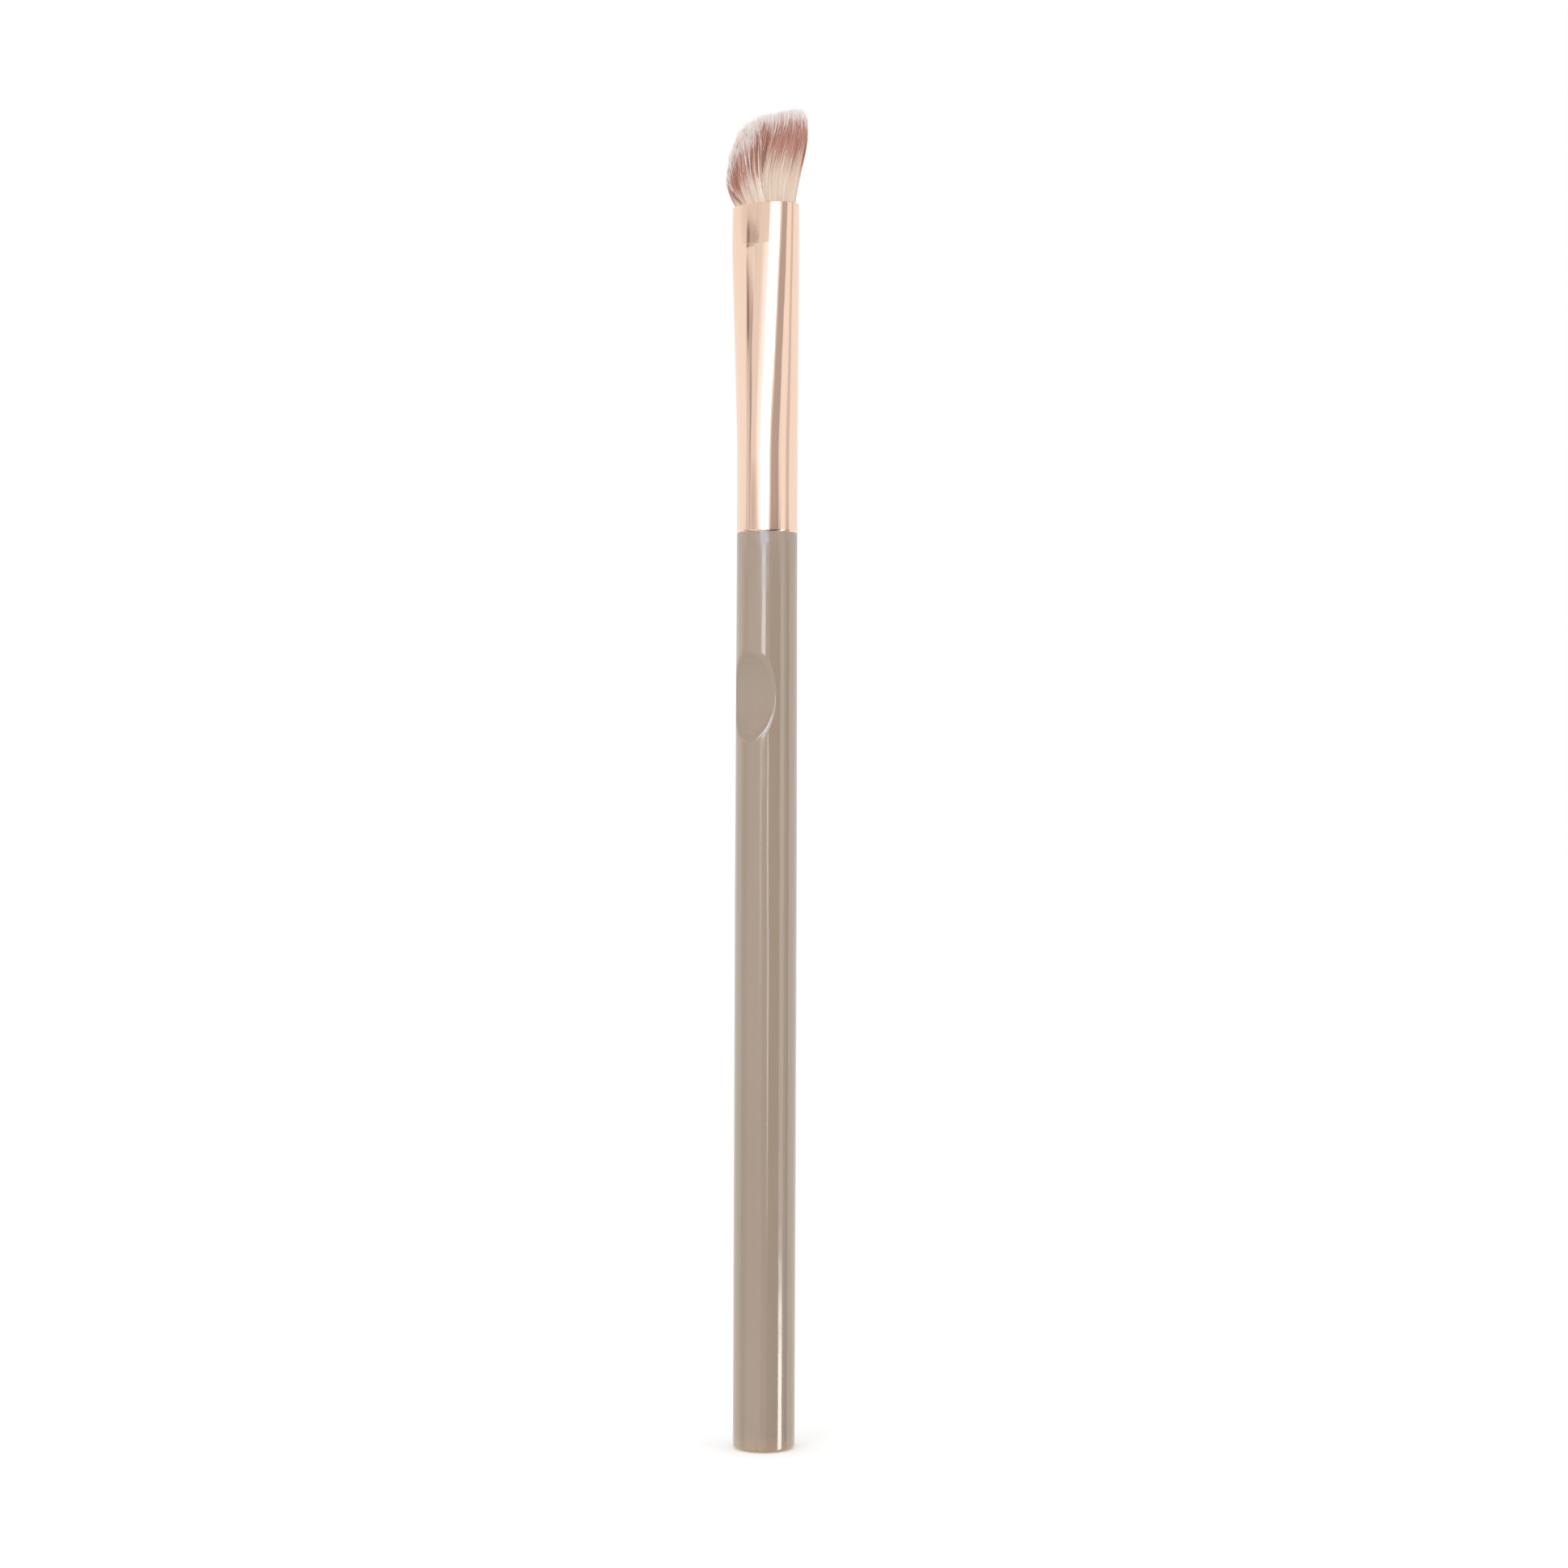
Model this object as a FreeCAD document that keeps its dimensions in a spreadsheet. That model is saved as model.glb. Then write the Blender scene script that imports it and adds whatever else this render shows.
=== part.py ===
import FreeCAD, Part
import os

import Sketcher

# Eyeshadow brush, standing on its butt end: +Z runs up the handle to the tips of the tuft, the origin is
# the middle of the butt, the thumb scoop and one broad side of the oval ferrule face -Y, and the tall
# side of the tuft is at +X.

# Driving sizes in millimetres, angles in degrees
SIZES = {
    # Handle: a rod with a straight stretch for the hand or a stand, then a slight taper up to the ferrule
    "handle_length": 113.0,
    "handle_diameter": 7.7,
    "straight_length": 70.0,
    "shoulder_diameter": 7.5,
    "butt_rounding": 0.5,
    # Tenon: the end of the handle that is glued into the ferrule
    "tenon_length": 10.0,
    "tenon_chamfer": 0.4,
    "tenon_room": 1.0,
    "adhesive_thickness": 0.125,
    # Thumb scoop: a shallow arc across the front of the handle, below the ferrule
    "scoop_drop": 20.2,
    "scoop_length": 10.8,
    "scoop_depth": 1.5,
    "scoop_rim_rounding": 0.25,
    # Ferrule: a round tube that is pressed to an oval at its mouth, a little off the axis
    "ferrule_length": 40.4,
    "ferrule_proud": 0.025,
    "ferrule_wall": 0.35,
    "turned_edge_height": 1.0,
    "turned_edge_depth": 0.12,
    "pressed_length": 5.0,
    "mouth_width": 9.1,
    "mouth_thickness": 5.7,
    "mouth_lean": -0.4,
    # Held roots of the fibres, their tie and the plug that locks them in
    "root_depth": 16.0,
    "gathered_length": 4.0,
    "root_clearance": 0.05,
    "root_stand": 0.3,
    "tie_thickness": 0.35,
    "tie_width": 1.4,
    "tie_height": 1.0,
    "plug_length": 6.0,
    "plug_overlap": 3.5,
    # Flex of the fibre locks: each turns on a knuckle just above the held roots
    "knuckle_radius": 0.5,
    "knuckle_gap": 0.15,
    "flex_angle": 25.0,
    "flex_margin": 3.0,
    "lock_gap": 0.12,
    # Tuft outline: the rise from the level below, the lean to the tall side and the half axes of each level
    "belly_rise": 3.5,
    "belly_lean": -0.7,
    "belly_half_width": 5.3,
    "belly_half_thickness": 2.8,
    "shoulder_rise": 3.5,
    "shoulder_lean": 0.15,
    "shoulder_half_width": 5.4,
    "shoulder_half_thickness": 2.35,
    "crown_rise": 2.5,
    "crown_lean": 1.0,
    "crown_half_width": 4.9,
    "crown_half_thickness": 1.6,
    "ridge_rise": 1.3,
    "ridge_lean": 2.0,
    "ridge_half_width": 3.5,
    "ridge_half_thickness": 1.0,
    "tip_rise": 0.8,
    "tip_lean": 3.4,
    "tip_half_width": 1.2,
    "tip_half_thickness": 0.4,
}
LEVELS = ("belly", "shoulder", "crown", "ridge", "tip")
LOCK_COUNT = 7

# Places worked out from the driving sizes, as expressions
HANDLE_RADIUS = "(Sizes.handle_diameter / 2)"
SHOULDER_RADIUS = "(Sizes.shoulder_diameter / 2)"
FERRULE_RADIUS = f"({SHOULDER_RADIUS} + Sizes.ferrule_proud)"
BORE_RADIUS = f"({FERRULE_RADIUS} - Sizes.ferrule_wall)"
TENON_RADIUS = f"({BORE_RADIUS} - Sizes.adhesive_thickness)"
TENON_TOP = "(Sizes.handle_length + Sizes.tenon_length)"
ROUND_TOP = f"({TENON_TOP} + Sizes.tenon_room)"
SCOOP_LEVEL = "(Sizes.handle_length - Sizes.scoop_drop)"
TAPER_LENGTH = "(Sizes.handle_length - Sizes.straight_length)"
TAPER_SHARE = f"max(0; 1 - Sizes.scoop_drop / {TAPER_LENGTH})"
SCOOP_SURFACE = f"({HANDLE_RADIUS} + ({SHOULDER_RADIUS} - {HANDLE_RADIUS}) * {TAPER_SHARE})"
MOUTH_LEVEL = "(Sizes.handle_length + Sizes.ferrule_length)"
PRESSED_LEVEL = f"({MOUTH_LEVEL} - Sizes.pressed_length)"
MOUTH_HALF_WIDTH = "(Sizes.mouth_width / 2)"
MOUTH_HALF_THICKNESS = "(Sizes.mouth_thickness / 2)"
MOUTH_LEAN = "Sizes.mouth_lean"
ROOT_HALF_WIDTH = f"({MOUTH_HALF_WIDTH} - Sizes.ferrule_wall - Sizes.root_clearance)"
ROOT_HALF_THICKNESS = f"({MOUTH_HALF_THICKNESS} - Sizes.ferrule_wall - Sizes.root_clearance)"
GATHERED_RADIUS = f"({ROOT_HALF_THICKNESS} - Sizes.tie_thickness)"
ROOT_BOTTOM = f"({MOUTH_LEVEL} - Sizes.root_depth)"
ROOT_TOP = f"({MOUTH_LEVEL} + Sizes.root_stand)"
HINGE_LEVEL = f"({ROOT_TOP} + Sizes.knuckle_gap + Sizes.knuckle_radius)"
TUFT_TOP = f"({MOUTH_LEVEL} + " + " + ".join(f"Sizes.{level}_rise" for level in LEVELS) + ")"
TUFT_REACH = "(Sizes.mouth_width + Sizes.belly_half_width + Sizes.shoulder_half_width)"
LOCK_PITCH = f"(2 * {ROOT_HALF_WIDTH} / {LOCK_COUNT - 1})"


def make_sheet(doc):
    """Spreadsheet with one named cell for each driving size."""
    sheet = doc.addObject("Spreadsheet::Sheet", "Sizes")
    for row, (name, value) in enumerate(SIZES.items(), start=1):
        sheet.set(f"A{row}", name)
        sheet.set(f"B{row}", str(value))
        sheet.setAlias(f"B{row}", name)
    doc.recompute()


def bind(item, **expressions):
    """Ties properties to expressions. A double underscore in a keyword stands for a dot."""
    for name, expression in expressions.items():
        item.setExpression(name.replace("__", "."), str(expression))


def make_sketch(body, name, role):
    """Sketch on one of the body's own origin planes."""
    sketch = body.newObject("Sketcher::SketchObject", name)
    plane = [item for item in body.Origin.OriginFeatures if item.Role == role]
    sketch.AttachmentSupport = [(plane[0], "")]
    sketch.MapMode = "FlatFace"
    return sketch


def hold_point(sketch, geometry, point, place):
    """Holds a sketch point at a pair of expressions, measured from the sketch origin."""
    for kind, axis, expression in zip(("DistanceX", "DistanceY"), (-2, -1), place):
        value = float(sketch.evalExpression(expression))
        if value == 0:
            sketch.addConstraint(Sketcher.Constraint("PointOnObject", geometry, point, axis))
        elif value > 0:
            row = sketch.addConstraint(Sketcher.Constraint(kind, -1, 1, geometry, point, value))
            sketch.setExpression(f"Constraints[{row}]", expression)
        else:
            row = sketch.addConstraint(Sketcher.Constraint(kind, geometry, point, -1, 1, -value))
            sketch.setExpression(f"Constraints[{row}]", f"-({expression})")


def draw_outline(sketch, corners):
    """Closed outline of straight lines whose corners are pairs of expressions."""
    points = [FreeCAD.Vector(*(float(sketch.evalExpression(e)) for e in corner), 0) for corner in corners]
    count = len(points)
    for start in range(count):
        sketch.addGeometry(Part.LineSegment(points[start], points[(start + 1) % count]), False)
    for start in range(count):
        sketch.addConstraint(Sketcher.Constraint("Coincident", start, 2, (start + 1) % count, 1))
    for start, corner in enumerate(corners):
        hold_point(sketch, start, 1, corner)


def edges_at_level(shape, level, radius):
    """Names of the round edges of a shape at one height and of one radius."""
    names = []
    for number, edge in enumerate(shape.Edges, start=1):
        curve = edge.Curve
        if isinstance(curve, Part.Circle) and abs(curve.Center.z - level) < 1e-6:
            if abs(curve.Radius - radius) < 1e-6:
                names.append(f"Edge{number}")
    return names


def make_oval(doc, name, level, half_width, half_thickness, lean="0"):
    """Level ellipse with its long axis along X."""
    oval = doc.addObject("Part::Ellipse", name)
    bind(oval, MajorRadius=half_width, MinorRadius=half_thickness)
    bind(oval, Placement__Base__x=lean, Placement__Base__z=level)
    return oval


def make_loft(doc, name, sections):
    """Solid with straight walls from each section to the next."""
    loft = doc.addObject("Part::Loft", name)
    loft.Sections = sections
    loft.Solid = True
    loft.Ruled = True
    return loft


def make_rod(doc, name, radius, bottom, length):
    """Upright cylinder on the brush axis."""
    rod = doc.addObject("Part::Cylinder", name)
    bind(rod, Radius=radius, Height=length, Placement__Base__z=bottom)
    return rod


def combine(doc, kind, name, base, tool):
    """Boolean of two objects: Part::Cut, Part::Fuse or Part::Common."""
    result = doc.addObject(kind, name)
    result.Base = base
    result.Tool = tool
    return result


def make_handle(doc):
    """Turned rod with its tenon, the rounded butt and the thumb scoop."""
    body = doc.addObject("PartDesign::Body", "handle")
    profile = make_sketch(body, "handle_profile", "XZ_Plane")
    corners = [
        ("0", "0"),
        (HANDLE_RADIUS, "0"),
        (HANDLE_RADIUS, "Sizes.straight_length"),
        (SHOULDER_RADIUS, "Sizes.handle_length"),
        (TENON_RADIUS, "Sizes.handle_length"),
        (TENON_RADIUS, TENON_TOP),
        ("0", TENON_TOP),
    ]
    draw_outline(profile, corners)
    rod = body.newObject("PartDesign::Revolution", "handle_rod")
    rod.Profile = profile
    rod.ReferenceAxis = (profile, ["V_Axis"])
    rod.Angle = 360
    doc.recompute()

    butt = body.newObject("PartDesign::Fillet", "butt_edge")
    butt.Base = (rod, edges_at_level(rod.Shape, 0, rod.evalExpression(HANDLE_RADIUS)))
    bind(butt, Radius="Sizes.butt_rounding")
    doc.recompute()

    lead = body.newObject("PartDesign::Chamfer", "tenon_lead")
    tenon_top = butt.evalExpression(TENON_TOP)
    tenon_radius = butt.evalExpression(TENON_RADIUS)
    lead.Base = (butt, edges_at_level(butt.Shape, tenon_top, tenon_radius))
    bind(lead, Size="Sizes.tenon_chamfer")
    doc.recompute()
    solid_volume = lead.Shape.Volume

    # The scoop is a round cut across the handle: its radius follows from its length and its depth
    arc_radius = "((Sizes.scoop_length ^ 2 / 4 + Sizes.scoop_depth ^ 2) / (2 * Sizes.scoop_depth))"
    arc_centre = f"-({SCOOP_SURFACE} - Sizes.scoop_depth + {arc_radius})"
    circle_sketch = make_sketch(body, "scoop_circle", "YZ_Plane")
    radius = float(circle_sketch.evalExpression(arc_radius))
    centre = FreeCAD.Vector(
        float(circle_sketch.evalExpression(arc_centre)),
        float(circle_sketch.evalExpression(SCOOP_LEVEL)),
        0,
    )
    circle_sketch.addGeometry(Part.Circle(centre, FreeCAD.Vector(0, 0, 1), radius), False)
    hold_point(circle_sketch, 0, 3, (arc_centre, SCOOP_LEVEL))
    row = circle_sketch.addConstraint(Sketcher.Constraint("Radius", 0, radius))
    circle_sketch.setExpression(f"Constraints[{row}]", arc_radius)
    scoop = body.newObject("PartDesign::Pocket", "thumb_scoop")
    scoop.Profile = circle_sketch
    scoop.SideType = "Symmetric"
    bind(scoop, Length="2 * Sizes.handle_diameter")
    doc.recompute()
    if not scoop.Shape.Volume < solid_volume:
        raise RuntimeError("the thumb scoop cuts nothing")

    rim = body.newObject("PartDesign::Fillet", "scoop_rim")
    rim.Base = (scoop, scoop_edges(scoop.Shape))
    bind(rim, Radius="Sizes.scoop_rim_rounding")
    doc.recompute()
    return body


def scoop_edges(shape):
    """Names of the edges round the thumb scoop: those with no circle and no line for a curve."""
    plain = (Part.Circle, Part.Line)
    edges = enumerate(shape.Edges, start=1)
    return [f"Edge{number}" for number, edge in edges if not isinstance(edge.Curve, plain)]


def make_bore(doc, name):
    """Space inside the ferrule, from its lower edge to its mouth."""
    inner_width = f"({MOUTH_HALF_WIDTH} - Sizes.ferrule_wall)"
    inner_thickness = f"({MOUTH_HALF_THICKNESS} - Sizes.ferrule_wall)"
    sections = [
        make_oval(doc, f"{name}_edge", "Sizes.handle_length", BORE_RADIUS, BORE_RADIUS),
        make_oval(doc, f"{name}_round", ROUND_TOP, BORE_RADIUS, BORE_RADIUS),
        make_oval(doc, f"{name}_pressed", PRESSED_LEVEL, inner_width, inner_thickness, MOUTH_LEAN),
        make_oval(doc, f"{name}_mouth", MOUTH_LEVEL, inner_width, inner_thickness, MOUTH_LEAN),
    ]
    return make_loft(doc, name, sections)


def make_ferrule(doc, bore):
    """Tube with a turned-in lower edge, a round stretch and an oval mouth."""
    edge_radius = f"({FERRULE_RADIUS} - Sizes.turned_edge_depth)"
    edge_top = "(Sizes.handle_length + Sizes.turned_edge_height)"
    sections = [
        make_oval(doc, "ferrule_edge", "Sizes.handle_length", edge_radius, edge_radius),
        make_oval(doc, "ferrule_edge_top", edge_top, FERRULE_RADIUS, FERRULE_RADIUS),
        make_oval(doc, "ferrule_round", ROUND_TOP, FERRULE_RADIUS, FERRULE_RADIUS),
        make_oval(doc, "ferrule_pressed", PRESSED_LEVEL, MOUTH_HALF_WIDTH, MOUTH_HALF_THICKNESS, MOUTH_LEAN),
        make_oval(doc, "ferrule_mouth", MOUTH_LEVEL, MOUTH_HALF_WIDTH, MOUTH_HALF_THICKNESS, MOUTH_LEAN),
    ]
    outside = make_loft(doc, "ferrule_outside", sections)
    return combine(doc, "Part::Cut", "ferrule", outside, bore)


def make_tenon_adhesive(doc, bore):
    """Thin sleeve of adhesive between the tenon and the ferrule, up to the tenon's chamfer."""
    length = "(Sizes.tenon_length - Sizes.tenon_chamfer)"
    slab = make_rod(doc, "adhesive_slab", "Sizes.mouth_width", "Sizes.handle_length", length)
    tenon = make_rod(doc, "adhesive_tenon", TENON_RADIUS, "Sizes.handle_length", length)
    filled = combine(doc, "Part::Common", "adhesive_filled", bore, slab)
    return combine(doc, "Part::Cut", "tenon_adhesive", filled, tenon)


def make_tuft_root(doc):
    """Held fibres: gathered round at the bottom, spread to the oval of the mouth at the top."""
    gathered_top = f"({ROOT_BOTTOM} + Sizes.gathered_length)"
    sections = [
        make_oval(doc, "root_bottom", ROOT_BOTTOM, GATHERED_RADIUS, GATHERED_RADIUS),
        make_oval(doc, "root_gathered", gathered_top, GATHERED_RADIUS, GATHERED_RADIUS),
        make_oval(doc, "root_spread", PRESSED_LEVEL, ROOT_HALF_WIDTH, ROOT_HALF_THICKNESS, MOUTH_LEAN),
        make_oval(doc, "root_top", ROOT_TOP, ROOT_HALF_WIDTH, ROOT_HALF_THICKNESS, MOUTH_LEAN),
    ]
    return make_loft(doc, "tuft_root", sections)


def make_tied_rod(doc):
    """Gathered fibres and their tie together, over the width of the tie."""
    bottom = f"({ROOT_BOTTOM} + Sizes.tie_height)"
    return make_rod(doc, "tied_rod", f"{GATHERED_RADIUS} + Sizes.tie_thickness", bottom, "Sizes.tie_width")


def make_root_epoxy(doc, bore, root, tied_rod):
    """Plug that fills the ferrule round the gathered fibres and their tie, and below them."""
    bottom = f"({ROOT_BOTTOM} + Sizes.plug_overlap - Sizes.plug_length)"
    slab = make_rod(doc, "plug_slab", "Sizes.mouth_width", bottom, "Sizes.plug_length")
    filled = combine(doc, "Part::Common", "plug_filled", bore, slab)
    round_fibres = combine(doc, "Part::Cut", "plug_round_fibres", filled, root)
    return combine(doc, "Part::Cut", "root_epoxy", round_fibres, tied_rod)


def make_tuft_envelope(doc):
    """Outer form of the free tuft, from the mouth to the tips."""
    neck = make_oval(doc, "tuft_neck", MOUTH_LEVEL, ROOT_HALF_WIDTH, ROOT_HALF_THICKNESS, MOUTH_LEAN)
    sections = [neck]
    level = MOUTH_LEVEL
    for name in LEVELS:
        level = f"({level} + Sizes.{name}_rise)"
        half_axes = (f"Sizes.{name}_half_width", f"Sizes.{name}_half_thickness")
        sections.append(make_oval(doc, f"tuft_{name}", level, *half_axes, lean=f"Sizes.{name}_lean"))
    return make_loft(doc, "tuft_envelope", sections)


def make_flex_wedge(doc):
    """Room that a lock may fill: a wedge that opens upwards from the hinge line, and a round knuckle on it.

    The flanks rise by more than the flex angle, so that a lock turned to its limit stays above the mouth.
    """
    body = doc.addObject("PartDesign::Body", "flex_wedge_sides")
    profile = make_sketch(body, "flex_wedge_profile", "YZ_Plane")
    flank_end = f"({HINGE_LEVEL} + {TUFT_REACH} * tan((Sizes.flex_angle + Sizes.flex_margin) * 1 deg))"
    top = f"({TUFT_TOP} + {TUFT_REACH})"
    corners = [
        ("0", HINGE_LEVEL),
        (TUFT_REACH, flank_end),
        (TUFT_REACH, top),
        (f"-{TUFT_REACH}", top),
        (f"-{TUFT_REACH}", flank_end),
    ]
    draw_outline(profile, corners)
    sides = body.newObject("PartDesign::Pad", "flex_wedge_pad")
    sides.Profile = profile
    sides.SideType = "Symmetric"
    bind(sides, Length=f"2 * {TUFT_REACH}")

    knuckle = doc.addObject("Part::Cylinder", "flex_knuckle")
    knuckle.Placement.Rotation = FreeCAD.Rotation(FreeCAD.Vector(0, 1, 0), 90)
    bind(knuckle, Radius="Sizes.knuckle_radius", Height=f"2 * {TUFT_REACH}")
    bind(knuckle, Placement__Base__x=f"-{TUFT_REACH}", Placement__Base__z=HINGE_LEVEL)
    return combine(doc, "Part::Fuse", "flex_wedge", body, knuckle)


def make_locks(doc, envelope, wedge):
    """Fibre locks side by side across the mouth. The two end locks reach out past the last dividing plane."""
    free_tuft = combine(doc, "Part::Common", "free_tuft", envelope, wedge)
    locks = []
    for number in range(1, LOCK_COUNT + 1):
        left = f"({MOUTH_LEAN} + {LOCK_PITCH} * ({number - 1} - {LOCK_COUNT} / 2) + Sizes.lock_gap / 2)"
        right = f"({MOUTH_LEAN} + {LOCK_PITCH} * ({number} - {LOCK_COUNT} / 2) - Sizes.lock_gap / 2)"
        if number == 1:
            left = f"(-{TUFT_REACH})"
        if number == LOCK_COUNT:
            right = TUFT_REACH
        slab = doc.addObject("Part::Box", f"lock_slab_{number}")
        bind(slab, Length=f"{right} - {left}", Width=f"2 * {TUFT_REACH}")
        bind(slab, Height=f"{TUFT_TOP} - {MOUTH_LEVEL}")
        bind(slab, Placement__Base__x=left, Placement__Base__y=f"-{TUFT_REACH}")
        bind(slab, Placement__Base__z=MOUTH_LEVEL)
        locks.append(combine(doc, "Part::Common", f"tuft_lock_{number}", free_tuft, slab))
    return locks


def check_and_write(doc, nodes):
    """Stops on a failed object or a bad shape, then writes one file for each node."""
    for item in doc.Objects:
        if "Invalid" in item.State or "Error" in item.State:
            raise RuntimeError(f"{item.Name} failed: {item.State}")
    for node in nodes:
        if node.Shape.isNull() or not node.Shape.isValid() or len(node.Shape.Solids) != 1:
            raise RuntimeError(f"{node.Label} has a bad shape")
    os.makedirs("parts", exist_ok=True)
    for node in nodes:
        node.Shape.exportStep(f"parts/{node.Label}.step")
        box = node.Shape.optimalBoundingBox()
        print(f"{node.Label}: {node.Shape.Volume:.2f} mm3, z {box.ZMin:.2f} to {box.ZMax:.2f}")


def main():
    doc = FreeCAD.newDocument("eyeshadow_brush")
    make_sheet(doc)
    handle = make_handle(doc)
    bore = make_bore(doc, "ferrule_bore")
    ferrule = make_ferrule(doc, bore)
    adhesive = make_tenon_adhesive(doc, bore)
    root = make_tuft_root(doc)
    tied_rod = make_tied_rod(doc)
    tie = combine(doc, "Part::Cut", "root_tie", tied_rod, root)
    epoxy = make_root_epoxy(doc, bore, root, tied_rod)
    locks = make_locks(doc, make_tuft_envelope(doc), make_flex_wedge(doc))
    doc.recompute()
    check_and_write(doc, [handle, ferrule, adhesive, root, tie, epoxy, *locks])


main()
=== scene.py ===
import math

import bpy
import numpy as np
from mathutils import Matrix, Vector


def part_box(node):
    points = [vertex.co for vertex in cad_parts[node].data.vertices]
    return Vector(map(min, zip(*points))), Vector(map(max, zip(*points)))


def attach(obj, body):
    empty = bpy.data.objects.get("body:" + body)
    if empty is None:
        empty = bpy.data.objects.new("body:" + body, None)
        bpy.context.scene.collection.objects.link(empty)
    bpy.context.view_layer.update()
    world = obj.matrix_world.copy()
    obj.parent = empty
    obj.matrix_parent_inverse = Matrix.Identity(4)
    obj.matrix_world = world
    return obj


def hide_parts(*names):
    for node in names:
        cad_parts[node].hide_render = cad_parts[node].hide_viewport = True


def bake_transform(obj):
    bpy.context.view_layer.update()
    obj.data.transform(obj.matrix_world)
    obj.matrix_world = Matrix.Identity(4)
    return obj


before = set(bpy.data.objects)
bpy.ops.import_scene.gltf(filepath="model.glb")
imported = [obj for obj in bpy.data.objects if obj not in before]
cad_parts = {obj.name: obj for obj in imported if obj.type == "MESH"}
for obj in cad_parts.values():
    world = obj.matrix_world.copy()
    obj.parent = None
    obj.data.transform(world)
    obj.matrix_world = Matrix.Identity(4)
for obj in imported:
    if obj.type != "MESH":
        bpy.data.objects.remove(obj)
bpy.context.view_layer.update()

# Looks of an eyeshadow brush: a lacquered handle, a polished rose-gold ferrule and a tuft of single fibres.
# Everything is in metres, in the frame of the solids: +Z up to the tips, the thumb scoop at -Y.

MM = 0.001
LOCK_COUNT = sum(name.startswith("tuft_lock_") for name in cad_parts)

# Places read from the solids
HANDLE_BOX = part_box("handle")
FERRULE_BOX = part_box("ferrule")
ROOT_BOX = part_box("tuft_root")
HANDLE_RADIUS = HANDLE_BOX[1].y
TENON_TOP = HANDLE_BOX[1].z
EDGE_LEVEL = FERRULE_BOX[0].z
MOUTH_LEVEL = FERRULE_BOX[1].z
ROUND_RADIUS = FERRULE_BOX[1].y
MOUTH_HALF_WIDTH = (FERRULE_BOX[1].x - FERRULE_BOX[0].x) / 2
MOUTH_LEAN = (FERRULE_BOX[1].x + FERRULE_BOX[0].x) / 2
ROOT_HALF_WIDTH = (ROOT_BOX[1].x - ROOT_BOX[0].x) / 2
ROOT_HALF_THICKNESS = ROOT_BOX[1].y

# Sizes of the handle
STRAIGHT_LENGTH = 70 * MM
SHOULDER_RADIUS = 3.75 * MM
BUTT_ROUNDING = 0.5 * MM
SHOULDER_ROUNDING = 0.06 * MM
TENON_RADIUS = 3.3 * MM
TENON_CHAMFER = 0.4 * MM
SCOOP_LEVEL = EDGE_LEVEL - 20.2 * MM
SCOOP_LENGTH = 10.8 * MM
SCOOP_DEPTH = 1.5 * MM
SCOOP_RIM = 0.42 * MM
NICK_ANGLE = math.radians(25)
NICK_WIDTH = 0.4 * MM
NICK_DEPTH = 0.16 * MM

# Sizes of the ferrule
FERRULE_WALL = 0.35 * MM
TURNED_HEIGHT = 0.15 * MM
TURNED_DEPTH = 0.06 * MM
ROUND_TOP = TENON_TOP + 1 * MM
PRESSED_LENGTH = 5 * MM
KNEE_HALF_THICKNESS = 3.08 * MM
MOUTH_HALF_THICKNESS = 2.85 * MM
MOUTH_SQUARENESS = 2.15

# Fineness of the meshes
HANDLE_SEGMENTS = 240
HANDLE_STEP = 1.5 * MM
SCOOP_STEP = 0.1 * MM
BUTT_STEP = 0.5 * MM
TENON_STEP = 2 * MM
FERRULE_SEGMENTS = 192
FIBRE_RINGS = 12
FIBRE_SIDES = 3
SHARP_ANGLE = math.radians(40)

# Form of the tuft at some levels above the mouth, and the tracks that its fibres follow
TUFT_LEVELS = np.array([0, 3.5, 7, 9.5, 10.8, 11.6]) * MM
TUFT_LEANS = np.array([-0.4, -0.7, 0.15, 1.0, 2.0, 3.4]) * MM
TUFT_HALF_WIDTHS = np.array([4.15, 5.3, 5.4, 4.9, 3.5, 1.2]) * MM
TUFT_HALF_THICKNESSES = np.array([2.45, 2.8, 2.35, 1.6, 1.0, 0.4]) * MM
TRACK_LEVELS = np.array([0, 3.5, 7, 10.5]) * MM
TRACK_LEANS = np.array([-0.4, -0.7, -0.15, 0.2]) * MM
TRACK_HALF_WIDTHS = np.array([4.12, 5.22, 5.6, 5.3]) * MM
TRACK_HALF_THICKNESSES = np.array([2.42, 2.74, 2.28, 1.08]) * MM

# Fibres of the tuft
FIBRE_SEED = 7
FIBRE_COUNT = 7000
FIBRE_RADIUS = 0.05 * MM
FIBRE_SINK = 1.2 * MM
FIBRE_TAPER = 4 * MM
TIP_THICKNESS = 0.25
SOWING_JITTER = 0.006
SHORTEST_FIBRE = 2 * MM
LONGEST_FIBRE = 11.5 * MM
LENGTH_STEPS = 160
LENGTH_UNEVEN = 0.5 * MM
TOP_UNEVEN = 0.35 * MM
FIBRES_IN_A_WISP = 4
WISP_PULL = 0.08
SWAY = 0.025 * MM
STRAY = 0.15 * MM
FAR_STRAY = 0.3 * MM
FAR_STRAY_SHARE = 0.02
FRONT_SHORTER = 2.0 * MM
FRONT_SPLAY = 3.2 * MM
BOLD_SHARE = 0.16
BOLD_THICKER = 0.7
GOLDEN_ANGLE = math.pi * (3 - math.sqrt(5))

# Colours of the fibres, where a tint goes from 0 for dark to 1 for light. Dark tints are partly the fibres'
# own colour and partly painted shade for the gaps between fibres.
FIBRE_MAP = "OFBake"
MAP_MARGIN = 0.002
COLOUR_REACH = 12 * MM
COLOUR_UNEVEN = 0.9 * MM
COLOUR_FIXED_TIP = 2 * MM
FULL_COLOUR_LENGTH = 7 * MM
TINT_SPREAD = 0.3
WISP_TINT_SPREAD = 0.4
DARK_BOLD_TINT = 0.05
LIGHT_BOLD_TINT = 0.95
PALE_SHARE = 0.25
PALENESS = 0.92

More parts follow.
